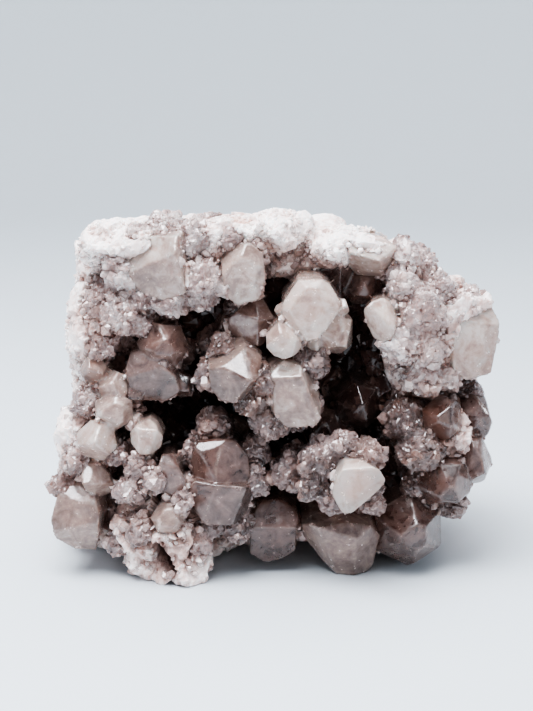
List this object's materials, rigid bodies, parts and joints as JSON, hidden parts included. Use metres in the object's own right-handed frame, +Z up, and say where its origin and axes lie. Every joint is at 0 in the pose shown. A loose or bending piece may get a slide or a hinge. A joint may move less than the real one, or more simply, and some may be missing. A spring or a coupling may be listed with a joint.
{
  "type": "quartz cluster",
  "caption": "Hollowed block of pale quartz matrix crowded with stout milky six-sided crystals, standing on its foot and flat underside.",
  "frame": {"origin": "under the middle of the block's bounding box, on the table it stands on", "axes": "+Z up; +X to the right and +Y to the back as seen from the hollow front"},
  "size_m": [0.1449, 0.09, 0.1177],
  "materials": {
    "matrix_rock": "rough pale massive quartz with a sugary druse",
    "druse": "small dark pinkish-brown crystals lining the hollow",
    "pale_quartz": "milky translucent crystal faces, cream to pinkish grey",
    "smoky_quartz": "dim translucent grey-brown crystal faces"
  },
  "bodies": {
    "root": {"crystal_cluster": "pale_quartz", "hollow_crust": "druse"}
  },
  "joints": []
}
